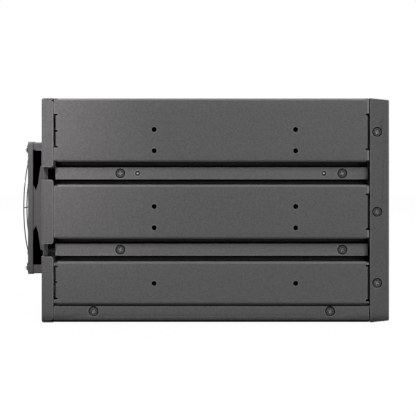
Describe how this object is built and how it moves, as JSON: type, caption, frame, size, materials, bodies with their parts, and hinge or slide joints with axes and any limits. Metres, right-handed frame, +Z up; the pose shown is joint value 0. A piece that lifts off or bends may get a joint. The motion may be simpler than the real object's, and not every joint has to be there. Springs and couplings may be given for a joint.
{
  "type": "hot swap drive cage",
  "caption": "Steel cage for three 5.25 inch bays that holds 3.5 inch drives on edge in pull-out lever trays, with a backplane, a rear fan and a wire guard.",
  "frame": {"origin": "middle of the underside of the case, midway between the bezel front and the back of the rear cover", "axes": "+X towards the front bezel, +Y towards the right side seen from the front, +Z up"},
  "size_m": [0.2138, 0.146, 0.1256],
  "materials": {
    "shell_coat": "fine textured powder coat",
    "cover_coat": "fine textured powder coat",
    "bezel_coat": "fine textured powder coat",
    "rear_coat": "fine textured powder coat",
    "strip_coat": "fine textured powder coat",
    "screw_black": "black zinc",
    "pin_steel": "ground",
    "guide_plastic": "moulded",
    "board_laminate": "solder mask",
    "connector_plastic": "moulded",
    "power_plastic": "moulded nylon",
    "led_clear": "clear lens",
    "standoff_brass": "turned",
    "fan_plastic": "moulded",
    "stator_steel": "wound laminations",
    "rotor_plastic": "moulded",
    "guard_steel": "black wire",
    "sled_plastic": "moulded",
    "front_plastic": "fine texture",
    "lever_plastic": "fine texture",
    "button_plastic": "satin",
    "pipe_clear": "clear moulded"
  },
  "bodies": {
    "cage": {"housing_shell": "shell_coat", "bottom_cover": "cover_coat", "front_bezel": "bezel_coat", "rear_cover": "rear_coat", "left_lower_strip": "strip_coat", "left_upper_strip": "strip_coat", "right_lower_strip": "strip_coat", "right_upper_strip": "strip_coat", "strip_screws": "screw_black", "locating_pins": "pin_steel", "bezel_screws": "screw_black", "base_screws": "screw_black", "rear_cover_screws": "screw_black", "upper_guide_plate": "guide_plastic", "lower_guide_plate": "guide_plastic", "backplane_board": "board_laminate", "drive_connectors": "connector_plastic", "data_connectors": "connector_plastic", "power_connectors": "power_plastic", "status_leds": "led_clear", "backplane_standoffs": "standoff_brass", "backplane_screws": "screw_black", "fan_frame": "fan_plastic", "fan_stator": "stator_steel", "fan_guard": "guard_steel", "fan_screws": "screw_black"},
    "rotor": {"fan_rotor": "rotor_plastic"},
    "tray_1": {"tray_1_sled": "sled_plastic", "tray_1_front": "front_plastic", "tray_1_light_pipes": "pipe_clear", "tray_1_hinge_pin": "pin_steel"},
    "lever_1": {"tray_1_lever": "lever_plastic"},
    "button_1": {"tray_1_release_button": "button_plastic"},
    "tray_2": {"tray_2_sled": "sled_plastic", "tray_2_front": "front_plastic", "tray_2_light_pipes": "pipe_clear", "tray_2_hinge_pin": "pin_steel"},
    "lever_2": {"tray_2_lever": "lever_plastic"},
    "button_2": {"tray_2_release_button": "button_plastic"},
    "tray_3": {"tray_3_sled": "sled_plastic", "tray_3_front": "front_plastic", "tray_3_light_pipes": "pipe_clear", "tray_3_hinge_pin": "pin_steel"},
    "lever_3": {"tray_3_lever": "lever_plastic"},
    "button_3": {"tray_3_release_button": "button_plastic"},
    "tray_4": {"tray_4_sled": "sled_plastic", "tray_4_front": "front_plastic", "tray_4_light_pipes": "pipe_clear", "tray_4_hinge_pin": "pin_steel"},
    "lever_4": {"tray_4_lever": "lever_plastic"},
    "button_4": {"tray_4_release_button": "button_plastic"},
    "tray_5": {"tray_5_sled": "sled_plastic", "tray_5_front": "front_plastic", "tray_5_light_pipes": "pipe_clear", "tray_5_hinge_pin": "pin_steel"},
    "lever_5": {"tray_5_lever": "lever_plastic"},
    "button_5": {"tray_5_release_button": "button_plastic"}
  },
  "joints": [
    {"name": "fan_spin", "type": "hinge", "parent": "cage", "child": "rotor", "pos_m": [-0.105, 0, 0.0628], "axis": [1, 0, 0], "continuous": true},
    {"name": "tray_1_slide", "type": "slide", "parent": "cage", "child": "tray_1", "axis": [1, 0, 0], "range_m": [0, 0.172]},
    {"name": "lever_1_swing", "type": "hinge", "parent": "tray_1", "child": "lever_1", "pos_m": [0.09225, -0.053, 0.0099], "axis": [0, 1, 0], "range_deg": [0, 75]},
    {"name": "button_1_press", "type": "slide", "parent": "tray_1", "child": "button_1", "axis": [-1, 0, 0], "range_m": [0, 0.002], "stiffness_N_per_m": 300},
    {"name": "tray_2_slide", "type": "slide", "parent": "cage", "child": "tray_2", "axis": [1, 0, 0], "range_m": [0, 0.172]},
    {"name": "lever_2_swing", "type": "hinge", "parent": "tray_2", "child": "lever_2", "pos_m": [0.09225, -0.0265, 0.0099], "axis": [0, 1, 0], "range_deg": [0, 75]},
    {"name": "button_2_press", "type": "slide", "parent": "tray_2", "child": "button_2", "axis": [-1, 0, 0], "range_m": [0, 0.002], "stiffness_N_per_m": 300},
    {"name": "tray_3_slide", "type": "slide", "parent": "cage", "child": "tray_3", "axis": [1, 0, 0], "range_m": [0, 0.172]},
    {"name": "lever_3_swing", "type": "hinge", "parent": "tray_3", "child": "lever_3", "pos_m": [0.09225, 0, 0.0099], "axis": [0, 1, 0], "range_deg": [0, 75]},
    {"name": "button_3_press", "type": "slide", "parent": "tray_3", "child": "button_3", "axis": [-1, 0, 0], "range_m": [0, 0.002], "stiffness_N_per_m": 300},
    {"name": "tray_4_slide", "type": "slide", "parent": "cage", "child": "tray_4", "axis": [1, 0, 0], "range_m": [0, 0.172]},
    {"name": "lever_4_swing", "type": "hinge", "parent": "tray_4", "child": "lever_4", "pos_m": [0.09225, 0.0265, 0.0099], "axis": [0, 1, 0], "range_deg": [0, 75]},
    {"name": "button_4_press", "type": "slide", "parent": "tray_4", "child": "button_4", "axis": [-1, 0, 0], "range_m": [0, 0.002], "stiffness_N_per_m": 300},
    {"name": "tray_5_slide", "type": "slide", "parent": "cage", "child": "tray_5", "axis": [1, 0, 0], "range_m": [0, 0.172]},
    {"name": "lever_5_swing", "type": "hinge", "parent": "tray_5", "child": "lever_5", "pos_m": [0.09225, 0.053, 0.0099], "axis": [0, 1, 0], "range_deg": [0, 75]},
    {"name": "button_5_press", "type": "slide", "parent": "tray_5", "child": "button_5", "axis": [-1, 0, 0], "range_m": [0, 0.002], "stiffness_N_per_m": 300}
  ]
}
